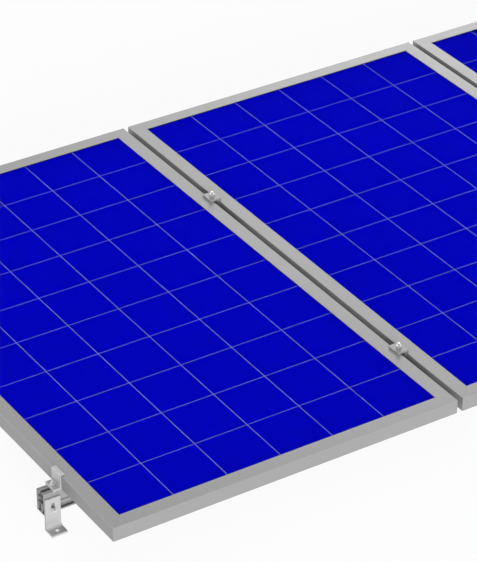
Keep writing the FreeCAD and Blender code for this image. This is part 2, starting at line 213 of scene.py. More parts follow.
floor_finish = bpy.data.materials.new("studio floor")
floor_finish.use_nodes = True
tree = floor_finish.node_tree
paint = tree.nodes["Principled BSDF"]
paint.inputs["Base Color"].default_value = floor_paint
paint.inputs["Roughness"].default_value = 0.9
paint.inputs["Specular IOR Level"].default_value = 0.0
glow = tree.nodes.new("ShaderNodeEmission")
both = tree.nodes.new("ShaderNodeMixShader")
put(tree, both.inputs[0], calculate(tree, "MULTIPLY", seen_ray(tree), floor_glow))
tree.links.new(paint.outputs[0], both.inputs[1])
tree.links.new(glow.outputs[0], both.inputs[2])
one_sided = tree.nodes.new("ShaderNodeMixShader")
put(tree, one_sided.inputs[0], tree.nodes.new("ShaderNodeNewGeometry").outputs["Backfacing"])
tree.links.new(both.outputs[0], one_sided.inputs[1])
tree.links.new(tree.nodes.new("ShaderNodeBsdfTransparent").outputs[0], one_sided.inputs[2])
tree.links.new(one_sided.outputs[0], tree.nodes["Material Output"].inputs["Surface"])
print("floor finish:", len(tree.nodes), "nodes")

# %% [markdown]
# ### The floor's surface
# One flat grid is enough. It is so wide that no edge of it shows, and it lies a hair below the
# feet, because two surfaces in one plane would flicker.

# %% Floor
floor_size = 60.0
floor_drop = 0.0002


def mesh_from(name, bm):
    """A named mesh from a finished drawing."""
    mesh = bpy.data.meshes.new(name)
    bm.to_mesh(mesh)
    bm.free()
    return mesh


bm = bmesh.new()
bmesh.ops.create_grid(bm, x_segments=8, y_segments=8, size=floor_size / 2)
floor_mesh = mesh_from("studio floor", bm)
floor_mesh.materials.append(floor_finish)
floor = bpy.data.objects.new("studio_floor", floor_mesh)
floor.location.z = cad_box[0].z - floor_drop
bpy.context.scene.collection.objects.link(floor)
print("floor at z =", round(floor.location.z, 4))

# %% [markdown]
# ## Effects that several finishes share
# Drawn lines, worn edges and settled dust turn up on many parts of this rack. Each is a node group
# with its own inputs, so that one drawing of the effect serves every finish. Nodes copied into each
# finish would be many places to change instead of one. The groups put out masks and tones only, and
# each finish decides what they do.

# %% Starting a node group
def start_group(name, takes, gives):
    """An empty shader group with float or vector inputs and float outputs."""
    group = bpy.data.node_groups.new(name, "ShaderNodeTree")
    for title, value in takes.items():
        kind = "NodeSocketVector" if isinstance(value, tuple) else "NodeSocketFloat"
        socket = group.interface.new_socket(title, in_out="INPUT", socket_type=kind)
        socket.default_value = value
    for title in gives:
        group.interface.new_socket(title, in_out="OUTPUT", socket_type="NodeSocketFloat")
    entry = group.nodes.new("NodeGroupInput")
    result = group.nodes.new("NodeGroupOutput")
    return group, entry.outputs, result.inputs


def place_group(tree, group, **values):
    """Puts a group into a finish, with that finish's own values."""
    made = tree.nodes.new("ShaderNodeGroup")
    made.node_tree = group
    for title, value in values.items():
        put(tree, made.inputs[title.replace("_", " ")], value)
    return made.outputs


def noise_at(tree, vector, scale, detail):
    """A noise value about 0.5 on the given coordinates."""
    made = tree.nodes.new("ShaderNodeTexNoise")
    put(tree, made.inputs["Vector"], vector)
    put(tree, made.inputs["Scale"], scale)
    made.inputs["Detail"].default_value = detail
    return made.outputs["Fac"]


def shade_from(tree, noise, contrast):
    """A shade about 1 from a noise about 0.5."""
    offset = calculate(tree, "SUBTRACT", noise, 0.5)
    return calculate(tree, "MULTIPLY_ADD", offset, contrast, 1.0)


print("group helpers ready")

# %% [markdown]
# ### Places and directions
# Most effects depend on where a point lies and which way its surface faces. Painted textures could
# carry the same marks, but each piece would have to be unwrapped for them.

# %% Helpers for places and directions
x_axis, y_axis, z_axis = (1.0, 0.0, 0.0), (0.0, 1.0, 0.0), (0.0, 0.0, 1.0)


def place_of(tree):
    """Where the shaded point lies, in metres."""
    return tree.nodes.new("ShaderNodeTexCoord").outputs["Object"]


def facing(tree):
    """The direction that the surface faces."""
    return tree.nodes.new("ShaderNodeNewGeometry").outputs["Normal"]


def along(tree, vector, axis):
    """How far a vector reaches along an axis."""
    made = tree.nodes.new("ShaderNodeVectorMath")
    made.operation = "DOT_PRODUCT"
    tree.links.new(vector, made.inputs[0])
    put(tree, made.inputs[1], axis)
    return made.outputs["Value"]


print("helpers for places ready")

# %% [markdown]
# ### Drawn lines
# An extrusion is pressed through a steel die, and every scratch in the die leaves a line along the
# whole bar. Stretched noise gives such lines: squeezed across the bar and pulled out along it. The
# Stretch input sets both, so that one group serves bars along X and along Y.

# %% Group for drawn lines
tree, takes, gives = start_group(
    "drawn lines", {"Stretch": (2.0, 900.0, 900.0), "Contrast": 0.1}, ["Shade", "Height"])
stretched = tree.nodes.new("ShaderNodeVectorMath")
stretched.operation = "MULTIPLY"
tree.links.new(place_of(tree), stretched.inputs[0])
tree.links.new(takes["Stretch"], stretched.inputs[1])
lines = noise_at(tree, stretched.outputs[0], scale=1.0, detail=3.0)
put(tree, gives["Shade"], shade_from(tree, lines, takes["Contrast"]))
put(tree, gives["Height"], lines)
drawn_lines = tree
print("drawn lines:", len(tree.nodes), "nodes")

# %% [markdown]
# ### Cloudy tone
# No batch of anodised metal, film or plastic has exactly one tone. A soft, large noise makes the
# surface a little lighter and darker from place to place. On large surfaces the change is a few
# percent, but without it they look like a computer drawing.

# %% Group for cloudy tone
tree, takes, gives = start_group("cloudy tone", {"Size": 0.2, "Contrast": 0.06}, ["Shade"])
scale = calculate(tree, "DIVIDE", 1.0, takes["Size"])
clouds = noise_at(tree, place_of(tree), scale, detail=4.0)
put(tree, gives["Shade"], shade_from(tree, clouds, takes["Contrast"]))
cloudy_tone = tree
print("cloudy tone:", len(tree.nodes), "nodes")

# %% [markdown]
# ### Fine grain
# Anodising etches aluminium to a fine satin grain, and a moulding tool gives plastic a fine
# leathery one. The grain is too small to see at arm's length, but it spreads the highlights. It is
# a small noise for the bump.

# %% Group for fine grain
tree, takes, gives = start_group("fine grain", {"Size": 0.0004}, ["Height"])
scale = calculate(tree, "DIVIDE", 1.0, takes["Size"])
put(tree, gives["Height"], noise_at(tree, place_of(tree), scale, detail=2.0))
fine_grain = tree
print("fine grain:", len(tree.nodes), "nodes")

# %% [markdown]
# ### Worn edges
# Edges are touched, packed and knocked more than faces, so the coating there is thinner and
# brighter. The Bevel node rounds the shading over a small width, and where its answer differs from
# the true surface there is an edge. Vertex colours could mark edges too, but they need a much finer
# mesh.

# %% Group for worn edges
edge_gain = 3.0

tree, takes, gives = start_group("worn edges", {"Width": 0.0006, "Strength": 1.0}, ["Mask"])
rounded_normal = tree.nodes.new("ShaderNodeBevel")
rounded_normal.samples = 4
put(tree, rounded_normal.inputs["Radius"], takes["Width"])
agreement = along(tree, rounded_normal.outputs[0], facing(tree))
edge = calculate(tree, "SUBTRACT", 1.0, agreement)
patches = noise_at(tree, place_of(tree), scale=60.0, detail=3.0)
for factor in (edge_gain, patches, takes["Strength"]):
    edge = calculate(tree, "MULTIPLY", edge, factor)
put(tree, gives["Mask"], calculate(tree, "MINIMUM", edge, 1.0))
worn_edges = tree
print("worn edges:", len(tree.nodes), "nodes")

# %% [markdown]
# ### Settled dust
# Dust from the open air settles on whatever faces up. The mask takes how far a face looks up, and
# breaks it into patches with noise. It stays thin here, because the panels in the picture look
# newly mounted.

# %% Group for settled dust
tree, takes, gives = start_group("settled dust", {"Amount": 0.05}, ["Mask"])
up = along(tree, facing(tree), z_axis)
up = calculate(tree, "MAXIMUM", up, 0.0)
patches = noise_at(tree, place_of(tree), scale=25.0, detail=6.0)
dust = calculate(tree, "MULTIPLY", up, patches)
put(tree, gives["Mask"], calculate(tree, "MULTIPLY", dust, takes["Amount"]))
settled_dust = tree
print("settled dust:", len(tree.nodes), "nodes")

# %% [markdown]
# ### Sawn ends
# Every bar is sawn off a long extrusion. A cut looks along the bar, and no other face does, so the
# surface's direction alone tells where the cuts are. The round blade leaves shallow arcs across
# them. They are drawn as noise on the distance across the bar, bent by the square of the height.

# %% Group for sawn ends
saw_mark = 0.0004
blade_bend = 3.3
cut_facing = 0.9

tree, takes, gives = start_group("sawn ends", {"Bar": x_axis}, ["Mask", "Marks"])
share = along(tree, facing(tree), takes["Bar"])
share = calculate(tree, "ABSOLUTE", share)
put(tree, gives["Mask"], calculate(tree, "GREATER_THAN", share, cut_facing))
where = place_of(tree)
height = along(tree, where, z_axis)
both_ways = along(tree, where, (1.0, 1.0, 0.0))
across = calculate(tree, "SUBTRACT", both_ways, along(tree, where, takes["Bar"]))
bent = calculate(tree, "MULTIPLY", height, height)
arcs = calculate(tree, "MULTIPLY_ADD", bent, blade_bend, across)
put(tree, gives["Marks"], noise_at(tree, arcs, scale=1 / saw_mark, detail=3.0))
sawn_ends = tree
print("sawn ends:", len(tree.nodes), "nodes")

# %% [markdown]
# ## Starting a finish
# Each finish on the rack starts from one Principled shader. Shades about 1 make its colour lighter
# or darker and its surface rougher or smoother, and a height gives it relief by bump. True relief
# would need far finer meshes, and bump is enough for a few hundredths of a millimetre.

# %% Helpers for finishes
def new_finish(name):
    """A material with its node tree and its Principled shader."""
    material = bpy.data.materials.new(name)
    material.use_nodes = True
    return material, material.node_tree, material.node_tree.nodes["Principled BSDF"]


def toned(tree, colour, shade):
    """A colour made lighter or darker by a shade about 1."""
    made = tree.nodes.new("ShaderNodeVectorMath")
    made.operation = "SCALE"
    made.inputs[0].default_value = colour
    put(tree, made.inputs["Scale"], shade)
    return made.outputs[0]


def bumped(tree, surface, height, strength, distance):
    """Lets a height raise the surface by up to the distance, in metres."""
    bump = tree.nodes.new("ShaderNodeBump")
    bump.inputs["Strength"].default_value = strength
    bump.inputs["Distance"].default_value = distance
    put(tree, bump.inputs["Height"], height)
    tree.links.new(bump.outputs[0], surface.inputs["Normal"])


def roughened(tree, surface, shade, roughness):
    """Gives the surface a roughness that varies with a shade about 1."""
    put(tree, surface.inputs["Roughness"], calculate(tree, "MULTIPLY", shade, roughness))


print("finish helpers ready")

# %% [markdown]
# ## Anodised aluminium
# Rails, feet, clamps and panel frames are extruded aluminium with a clear satin anodising. Bare
# metal would only mirror its surroundings, but the oxide layer scatters most of the light, so the
# surface is one third metal and two thirds matt. The finish takes its tone from the drawn lines and
# the clouds, its edges from the wear, and its cuts from the saw marks and a painted shade.

# %% Making an anodised finish
lines_along, lines_across = 2.0, 700.0
coat_metal = 0.35
coat_roughness, line_roughness, cut_roughness = 0.36, 0.12, 0.1
coat_blue = 1.01
worn_gain = 1.5
dust_colour = (0.42, 0.40, 0.37, 1)
mark_depth = 0.5


def anodised(name, grey, bar, line_contrast=0.10, cut_painted_shade=0.9):
    """Satin anodised aluminium: drawn lines along the bar, saw marks and painted shade on its cuts.
    """
    material, tree, surface = new_finish(name)
    stretch = tuple(lines_along if part else lines_across for part in bar)
    lines = place_group(tree, drawn_lines, Stretch=stretch, Contrast=line_contrast)
    clouds = place_group(tree, cloudy_tone, Size=0.25, Contrast=0.07)
    wear = place_group(tree, worn_edges, Width=0.0006, Strength=1.0)
    dust = place_group(tree, settled_dust, Amount=0.06)
    shade = calculate(tree, "MULTIPLY", lines["Shade"], clouds["Shade"])
    coated = toned(tree, (grey, grey, grey * coat_blue), shade)
    bright = grey * worn_gain
    worn = blend_colours(tree, wear["Mask"], coated, (bright, bright, bright, 1))
    dusty = blend_colours(tree, dust["Mask"], worn, dust_colour)
    sawn = place_group(tree, sawn_ends, Bar=bar)
    # Cuts are painted darker, a painted shade for their dim ends; the saw marks on them are real.
    darkest = (1 - mark_depth / 2) * cut_painted_shade
    cut_shade = calculate(tree, "MULTIPLY_ADD", sawn["Marks"], mark_depth * cut_painted_shade, darkest)
    cut = toned(tree, (grey, grey, grey), cut_shade)
    put(tree, surface.inputs["Base Color"], blend_colours(tree, sawn["Mask"], dusty, cut))
    matt = calculate(tree, "MULTIPLY_ADD", lines["Height"], line_roughness, coat_roughness)
    matt = calculate(tree, "ADD", matt, dust["Mask"])
    matt = calculate(tree, "MULTIPLY_ADD", sawn["Mask"], cut_roughness, matt)
    put(tree, surface.inputs["Roughness"], matt)
    surface.inputs["Metallic"].default_value = coat_metal
    grain = place_group(tree, fine_grain, Size=0.0005)
    relief = calculate(tree, "ADD", grain["Height"], lines["Height"])
    relief = calculate(tree, "MULTIPLY_ADD", sawn["Mask"], sawn["Marks"], relief)
    bumped(tree, surface, relief, strength=0.25, distance=0.00004)
    return material


print("anodising helper ready")

# %% [markdown]
# ### One finish for each bar
# The pieces come from different bars and batches, so one tone for all would look flat. Feet and end
# clamps are the palest, and rails and frames are darker, as in the picture. On the rails that darker
# grey is also painted shade, for the shade under the panels. All cuts are painted a little darker as
# painted shade, the rails' much darker, for the dark hollow one looks into at their open ends. Short
# pieces show weaker lines than long ones.

# %% Finishes of the bars
# The frames' own grey; on the rails it is also painted shade, for the shade under the panels.
long_bar_grey_and_rail_shade = 0.223
weak_lines = 0.08

finishes = {
    "rail_aluminium": anodised("rail aluminium", long_bar_grey_and_rail_shade, x_axis, cut_painted_shade=0.5),
    "foot_aluminium": anodised("foot aluminium", 0.35, x_axis, weak_lines),
    "clamp_aluminium": anodised("end clamp aluminium", 0.38, y_axis, weak_lines),
    "key_aluminium": anodised("key aluminium", 0.40, x_axis, 0.12),
}
mid_clamp_finish = anodised("mid clamp aluminium", 0.25, y_axis, weak_lines)
frame_along_x = anodised("frame aluminium along X", long_bar_grey_and_rail_shade, x_axis)
frame_along_y = anodised("frame aluminium along Y", long_bar_grey_and_rail_shade, y_axis)
print("anodised finishes:", len(finishes) + 3)

# %% [markdown]
# ### Bare metal and painted light in the roof holes
# The feet are sawn from an anodised bar and drilled afterwards, so the walls of their roof holes
# are bare metal. The picture shows the one hole in view as a white spot, though its walls lie in
# shade, so they are painted nearly white as painted light on top of the bare metal. The holes lie on
# a grid, so the distance to the nearest one is found by wrapping the coordinates round the pitch of
# the feet. A vertex group would have to be painted on each foot.

# %% Bare metal and painted light in the holes of the feet
foot_places = (-1.531, 0.0, 1.531)
rail_places = (-0.557, 0.350)
hole_to_rail = 0.040
bare_and_painted_light_radius = 0.0047
bare_metal_and_painted_light = (0.88, 0.88, 0.88, 1)

foot_finish = finishes["foot_aluminium"]
tree = foot_finish.node_tree
surface = tree.nodes["Principled BSDF"]
anodised_colour = surface.inputs["Base Color"].links[0].from_socket
half_x = (foot_places[1] - foot_places[0]) / 2
half_y = (rail_places[1] - rail_places[0]) / 2
where = place_of(tree)
off_x = calculate(tree, "WRAP", along(tree, where, x_axis), half_x, -half_x)
off_y = calculate(tree, "SUBTRACT", along(tree, where, y_axis), rail_places[0] - hole_to_rail)
off_y = calculate(tree, "WRAP", off_y, half_y, -half_y)
squares = calculate(tree, "MULTIPLY_ADD", off_x, off_x, calculate(tree, "MULTIPLY", off_y, off_y))
# Inside this radius the walls are bare metal, painted nearly white as painted light.
bare_and_painted_light = calculate(tree, "LESS_THAN", squares, bare_and_painted_light_radius ** 2)
put(tree, surface.inputs["Base Color"], blend_colours(tree, bare_and_painted_light, anodised_colour, bare_metal_and_painted_light))
metal = surface.inputs["Metallic"].default_value
put(tree, surface.inputs["Metallic"], calculate(tree, "MULTIPLY_ADD", bare_and_painted_light, 1 - metal, metal))
print("bare holes within", bare_and_painted_light_radius * 1000, "mm of their axes")

# %% [markdown]
# ## Stainless steel
# Bolts and nuts are cold formed stainless steel. They are the brightest metal on the rack, because
# they are nearly all metal and smoother than the anodised bars. A thin dry lubricant, which keeps
# the threads from seizing, dulls them a little. The tone changes over a few millimetres, and the
# corners are rubbed brighter.

# %% Finish of the bolts and nuts
dull_steel = (0.64, 0.64, 0.63)
rubbed_steel = (0.80, 0.80, 0.79, 1)

steel, tree, surface = new_finish("stainless steel")
clouds = place_group(tree, cloudy_tone, Size=0.004, Contrast=0.25)
wear = place_group(tree, worn_edges, Width=0.0003, Strength=1.0)
dull = toned(tree, dull_steel, clouds["Shade"])
put(tree, surface.inputs["Base Color"], blend_colours(tree, wear["Mask"], dull, rubbed_steel))
roughened(tree, surface, clouds["Shade"], roughness=0.3)
surface.inputs["Metallic"].default_value = 0.85
grain = place_group(tree, fine_grain, Size=0.0003)
bumped(tree, surface, grain["Height"], strength=0.2, distance=0.00002)
finishes["stainless_steel"] = steel
print("steel:", len(tree.nodes), "nodes")

# %% [markdown]
# ## Solar cells
# Each panel has six by ten nearly square silicon cells, deep blue from their anti-reflection
# coating. The silicon is cast, so each cell is a patchwork of crystals that differ a little in
# tone, and silver fingers as thin as a hair cross it. Cells are sorted by colour, so whole cells
# differ very little. They are bonded to the glass, so they have no gloss of their own.

# %% Finish of the solar cells
cell_colour = (0.0003, 0.0004, 0.395)
crystal_size = 0.012
crystal_contrast = 0.10
finger_pitch = 0.002
finger_share = 0.05
finger_strength = 0.25
finger_colour = (0.02, 0.03, 0.55, 1)

cell_blue, tree, surface = new_finish("solar cells")
where = place_of(tree)
crystals = tree.nodes.new("ShaderNodeTexVoronoi")
crystals.inputs["Scale"].default_value = 1 / crystal_size
tree.links.new(where, crystals.inputs["Vector"])
crystal_tone = tree.nodes.new("ShaderNodeSeparateColor")
tree.links.new(crystals.outputs["Color"], crystal_tone.inputs[0])
crystal_shade = shade_from(tree, crystal_tone.outputs[0], crystal_contrast)
clouds = place_group(tree, cloudy_tone, Size=0.3, Contrast=0.05)
blue = toned(tree, cell_colour, calculate(tree, "MULTIPLY", crystal_shade, clouds["Shade"]))
turn = calculate(tree, "DIVIDE", along(tree, where, x_axis), finger_pitch)
finger = calculate(tree, "LESS_THAN", calculate(tree, "FRACT", turn), finger_share)
finger = calculate(tree, "MULTIPLY", finger, finger_strength)
put(tree, surface.inputs["Base Color"], blend_colours(tree, finger, blue, finger_colour))
roughened(tree, surface, crystal_shade, roughness=0.55)
surface.inputs["Specular IOR Level"].default_value = 0.0
finishes["solar_cells"] = cell_blue
print("cells:", len(tree.nodes), "nodes")

# %% [markdown]
# ## Backsheet
# Behind the cells lies a pale plastic film. It is matt, and slightly uneven where it has settled
# over the cells. Its outer side is the whole back of each panel. Its front shows only as the thin
# lines between the cells. There it is given a darker blue instead of its pale colour, as painted
# shade in the narrow gaps and painted blue light thrown back by the cells' edges on both sides of
# each. One film with two tones serves both: the direction that a surface faces tells front from back.

# %% Finish of the backsheet
film_back = (0.62, 0.62, 0.64)
film_front_painted_shade = (0.19, 0.225, 0.43, 1)

film, tree, surface = new_finish("backsheet film")
clouds = place_group(tree, cloudy_tone, Size=0.12, Contrast=0.05)
front = calculate(tree, "GREATER_THAN", along(tree, facing(tree), z_axis), 0.0)
outside = toned(tree, film_back, clouds["Shade"])
# The film's front is painted darker and blue: painted shade and painted light from the cells.
put(tree, surface.inputs["Base Color"], blend_colours(tree, front, outside, film_front_painted_shade))
roughened(tree, surface, clouds["Shade"], roughness=0.55)
surface.inputs["Specular IOR Level"].default_value = 0.15
ripples = noise_at(tree, place_of(tree), scale=40.0, detail=4.0)
bumped(tree, surface, ripples, strength=0.3, distance=0.0004)
finishes["backsheet"] = film
print("backsheet:", len(tree.nodes), "nodes")

# %% [markdown]
# ## Glass
# The front is tempered low iron glass with an anti-reflection skin, so that light goes into the
# cells and does not bounce off. Its gloss is far weaker than a window's, and its face is rolled
# with a fine satin texture, so that what it mirrors is blurred. Cleaning and rain leave it faintly
# uneven, which is the only pattern on it here.

# %% Finish of the glass
glass, tree, surface = new_finish("anti-reflection glass")
surface.inputs["Base Color"].default_value = (1.0, 1.0, 1.0, 1.0)
surface.inputs["Metallic"].default_value = 0.0
surface.inputs["Transmission Weight"].default_value = 1.0
surface.inputs["IOR"].default_value = 1.013
smears = place_group(tree, cloudy_tone, Size=0.10, Contrast=1.0)
roughened(tree, surface, smears["Shade"], roughness=0.10)
finishes["panel_glass"] = glass
print("glass:", len(tree.nodes), "nodes")

# %% [markdown]
# ## Black plastic
# The junction boxes on the backs are moulded in black, weather proof plastic. The mould is spark
# eroded, which leaves an even fine grain, and the edges grey a little as they are handled.

# %% Finish of the junction boxes
plastic_black = (0.018, 0.018, 0.019)
plastic_grey = (0.09, 0.09, 0.09, 1)

plastic, tree, surface = new_finish("black moulded plastic")
clouds = place_group(tree, cloudy_tone, Size=0.03, Contrast=0.3)
wear = place_group(tree, worn_edges, Width=0.0008, Strength=0.6)
black = toned(tree, plastic_black, clouds["Shade"])
put(tree, surface.inputs["Base Color"], blend_colours(tree, wear["Mask"], black, plastic_grey))
roughened(tree, surface, clouds["Shade"], roughness=0.5)
grain = place_group(tree, fine_grain, Size=0.0007)
bumped(tree, surface, grain["Height"], strength=0.5, distance=0.00008)
finishes["junction_plastic"] = plastic
print("plastic:", len(tree.nodes), "nodes")

# %% [markdown]
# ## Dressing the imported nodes
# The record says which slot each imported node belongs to, so most finishes go on by that name. The
# panel frames differ, because their drawn lines follow each bar, and the bars run along X or along
# Y. The mid clamps are sawn from another extrusion than the end clamps, with a darker tone in the
# picture, so they have their own.

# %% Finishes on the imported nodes
def finish_for(node_name, slot_name):
    """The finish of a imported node."""
    if "mid_clamp" in node_name and slot_name == "clamp_aluminium":
        return mid_clamp_finish
    if slot_name != "frame_aluminium":
        return finishes[slot_name]
    if node_name.endswith(("front_frame", "rear_frame")):
        return frame_along_x
    return frame_along_y


slot_of = {part["node"]: part["material_slot"] for part in frame["record"]["subparts"]}
for node_name, node in frame["nodes"].items():
    for slot in node.material_slots:
        slot.material = finish_for(node_name, slot_of[node_name])
print("finishes on", len(slot_of), "nodes")

# %% [markdown]
# ## Softer edges on the bars
# Extruded and sawn aluminium has small rounded edges that catch the light as thin bright lines. The
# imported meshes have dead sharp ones, and each of their faces stands apart. Modifiers leave those
# meshes as they are: a small node group welds the faces together, a bevel rounds the sharp edges by
# a fraction of a millimetre, and weighted normals keep the flat faces flat.

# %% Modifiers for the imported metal
weld = bpy.data.node_groups.new("weld and smooth", "GeometryNodeTree")
weld.interface.new_socket("Geometry", in_out="INPUT", socket_type="NodeSocketGeometry")
weld.interface.new_socket("Geometry", in_out="OUTPUT", socket_type="NodeSocketGeometry")
entry = weld.nodes.new("NodeGroupInput")
merge = weld.nodes.new("GeometryNodeMergeByDistance")
merge.inputs["Distance"].default_value = 0.00001
forget = weld.nodes.new("GeometryNodeRemoveAttribute")
forget.inputs["Name"].default_value = "custom_normal"
smooth_faces = weld.nodes.new("GeometryNodeSetShadeSmooth")
smooth_edges = weld.nodes.new("GeometryNodeSetShadeSmooth")
smooth_edges.domain = "EDGE"
for smooth in (smooth_faces, smooth_edges):
    smooth.inputs["Shade Smooth"].default_value = True
chain = [entry, merge, forget, smooth_faces, smooth_edges, weld.nodes.new("NodeGroupOutput")]
for before, after in zip(chain, chain[1:]):
    weld.links.new(before.outputs[0], after.inputs[0])


def soften(node, width):
    """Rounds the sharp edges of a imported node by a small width, in metres."""
    node.modifiers.new("weld", "NODES").node_group = weld
    bevel = node.modifiers.new("edges", "BEVEL")
    bevel.width = width
    bevel.segments = 2
    bevel.limit_method = "ANGLE"
    bevel.angle_limit = math.radians(25)
    node.modifiers.new("flat faces", "WEIGHTED_NORMAL")


edge_widths = {
    "frame_aluminium": 0.00025,
    "rail_aluminium": 0.0002,
    "foot_aluminium": 0.0003,
    "clamp_aluminium": 0.00025,
}
for node_name, node in frame["nodes"].items():
    if slot_of[node_name] in edge_widths:
        soften(node, edge_widths[slot_of[node_name]])
print("softened", sum(slot_of[name] in edge_widths for name in frame["nodes"]), "nodes")

# %% [markdown]
# ## Making new pieces
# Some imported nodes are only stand-ins for finer things. A new piece is drawn as rings of points
# that are skinned into a closed surface, as a boat builder planks a hull over ribs.

# %% Helpers for shapes
def loft(bm, rings, closed=False):
    """Skins rings of points. A closed loft joins the last ring to the first, as round a bore."""
    layers = [[bm.verts.new(point) for point in ring] for ring in rings]
    pairs = list(zip(layers, layers[1:]))
    if closed:
        pairs.append((layers[-1], layers[0]))
    for low, high in pairs:
        for index in range(len(low)):
            after = (index + 1) % len(low)
            bm.faces.new((low[index], low[after], high[after], high[index]))
    if not closed:
        bm.faces.new(layers[0][::-1])
        bm.faces.new(layers[-1])


def pattern_mesh(name, bm, sharp_degrees=30):
    """A mesh that is smooth except at edges sharper than the given angle."""
    bmesh.ops.recalc_face_normals(bm, faces=bm.faces)
    for face in bm.faces:
        face.smooth = True
    for edge in bm.edges:
        edge.smooth = edge.calc_face_angle(0.0) < math.radians(sharp_degrees)
    return mesh_from(name, bm)


print("shape helpers ready")

# %% [markdown]
# ### From shapes to pieces
# Like things are copies of one pattern, joined into one piece, because the imported model has one
# node for them. Every piece rides on the rack, takes its finish by slot, and hides the imported node
# it stands for.

# %% Helpers for pieces
def repeated(name, *sets):
    """One mesh from sets, each of a pattern and the places of its copies."""
    bm = bmesh.new()
    for pattern, places in sets:
        for place in places:
            before = len(bm.verts)
            bm.from_mesh(pattern)
            bm.verts.ensure_lookup_table()
            bmesh.ops.transform(bm, matrix=place, verts=bm.verts[before:])
    return mesh_from(name, bm)


def dressed(name, mesh, slot_name, *nodes):
    """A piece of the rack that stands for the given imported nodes."""
    mesh.materials.append(finishes[slot_name])
    piece = bpy.data.objects.new(name, mesh)
    bpy.context.scene.collection.objects.link(piece)
    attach(piece, "root")
    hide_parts(*nodes)
    return piece


print("piece helpers ready")

# %% [markdown]
# ## Glass panes
# A pane is cut, and its sharp edge is ground to a small seam so that it survives tempering. It is
# bonded to the cells with a clear film. The pane is lofted from four rectangles, the outer two
# smaller by the seam. It stops a tenth of a millimetre above the cells, and half as far below the
# lip of the frame, because two surfaces in one plane would flicker.

# %% Glass panes
pane_seam = 0.0008
bond = 0.0001
lip_gap = 0.00005


def rectangle(low, high, inset, z):
    """Four corners of a level rectangle, moved in by the inset."""
    left, right = low.x + inset, high.x - inset
    near, far = low.y + inset, high.y - inset
    return [(left, near, z), (right, near, z), (right, far, z), (left, far, z)]


for panel in ("left", "middle", "right"):
    low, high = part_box(f"{panel}_panel_glass")
    bottom, top = low.z + bond, high.z - lip_gap
    bm = bmesh.new()
    levels = ((pane_seam, bottom), (0, bottom + pane_seam), (0, top - pane_seam), (pane_seam, top))
    loft(bm, [rectangle(low, high, inset, z) for inset, z in levels])
    mesh = pattern_mesh(f"{panel} pane", bm)
    dressed(f"{panel}_panel_pane", mesh, "panel_glass", f"{panel}_panel_glass")
print("panes", round(top - bottom, 4), "m thick")

# %% [markdown]
# ## Nuts
# The real nuts are cold formed hexagons, turned to a cone at both ends, which leaves the six curved
# arcs on their flats. A bevelled prism would have straight ones. Here the outline is sampled all
# round, so that the radius and the height of a ring may change with the angle.

# %% Rings and hexagons
nut_size = 0.013
round_steps = 48


def ring(radius, z, steps=round_steps):
    """A ring round Z. Its radius and height are numbers or functions of the angle."""
    points = []
    for index in range(steps):
        angle = 2 * math.pi * index / steps
        r = radius(angle) if callable(radius) else radius
        height = z(angle) if callable(z) else z
        points.append((r * math.cos(angle), r * math.sin(angle), height))
    return points


def flat_radius(angle, size=nut_size):
    """How far a hexagon reaches at an angle. Two of its flats face X."""
    from_flat = (angle + math.pi / 6) % (math.pi / 3) - math.pi / 6
    return size / 2 / math.cos(from_flat)


print("a nut reaches", round(flat_radius(math.pi / 6), 5), "m at its corners")

# %% [markdown]
# ### The nut
# One closed loft goes up the outside and down the bore. The cone tells at each angle how high the
# flat reaches, so the arcs come out by themselves.

# %% Nut
nut_height = 0.0068
nut_cone_radius = 0.0061
nut_cone_angle = math.radians(30)
nut_bore_radius = 0.00398
nut_countersink = 0.0005


def cone_drop(angle):
    """How far the turned cone comes down the hexagon at an angle."""
    return (flat_radius(angle) - nut_cone_radius) * math.tan(nut_cone_angle)


bm = bmesh.new()
open_radius = nut_bore_radius + nut_countersink
loft(bm, [
    ring(nut_bore_radius, nut_countersink),
    ring(open_radius, 0.0),
    ring(nut_cone_radius, 0.0),
    ring(flat_radius, cone_drop),
    ring(flat_radius, lambda angle: nut_height - cone_drop(angle)),
    ring(nut_cone_radius, nut_height),
    ring(open_radius, nut_height),
    ring(nut_bore_radius, nut_height - nut_countersink),
], closed=True)
nut = pattern_mesh("nut", bm, sharp_degrees=20)
print("nut:", len(nut.polygons), "faces")

# %% [markdown]
# ## T bolts
# A T bolt's head drops into the rail's channel and turns crosswise under its lips. The shank has a
# rolled M8 thread. A bump texture could fake the thread, but its outline would stay straight, so it
# is a real ridge here: a profile of four points that climbs along a helix, a pitch for each turn.

# %% Threaded shank
thread_pitch = 0.00125
thread_crest = 0.00395
thread_root = 0.0033
thread_profile = (
    (0.0, thread_root), (0.2, thread_root), (0.53, thread_crest), (0.67, thread_crest))
thread_steps = 24
hair = 1e-7


def threaded_shank(bm, low, high):
    """A threaded bar along Z. Its far end is turned down to the root of the thread."""
    turns = math.ceil((high - low) / thread_pitch) + 2
    columns = []
    for step in range(turns * thread_steps + 1):
        angle = 2 * math.pi * step / thread_steps
        column = []
        for share, radius in thread_profile:
            climb = low + thread_pitch * (step / thread_steps + share - 1)
            z = min(max(climb, low), high)
            r = min(radius, thread_root + high - z)
            column.append(bm.verts.new((r * math.cos(angle), r * math.sin(angle), z)))
        columns.append(column)
    for step in range(len(columns) - 1 - thread_steps):
        here, after = columns[step], columns[step + 1]
        here = here + [columns[step + thread_steps][0]]
        after = after + [columns[step + 1 + thread_steps][0]]
        for index in range(len(here) - 1):
            corners = (here[index], after[index], after[index + 1], here[index + 1])
            if max(c.co.z for c in corners) - min(c.co.z for c in corners) > hair:
                bm.faces.new(corners)
    bm.faces.new([bm.verts.new(point) for point in ring(thread_root, high, thread_steps)])
    bmesh.ops.remove_doubles(bm, verts=bm.verts, dist=hair)
    loose = [vert for vert in bm.verts if not vert.link_faces]
    bmesh.ops.delete(bm, geom=loose, context="VERTS")


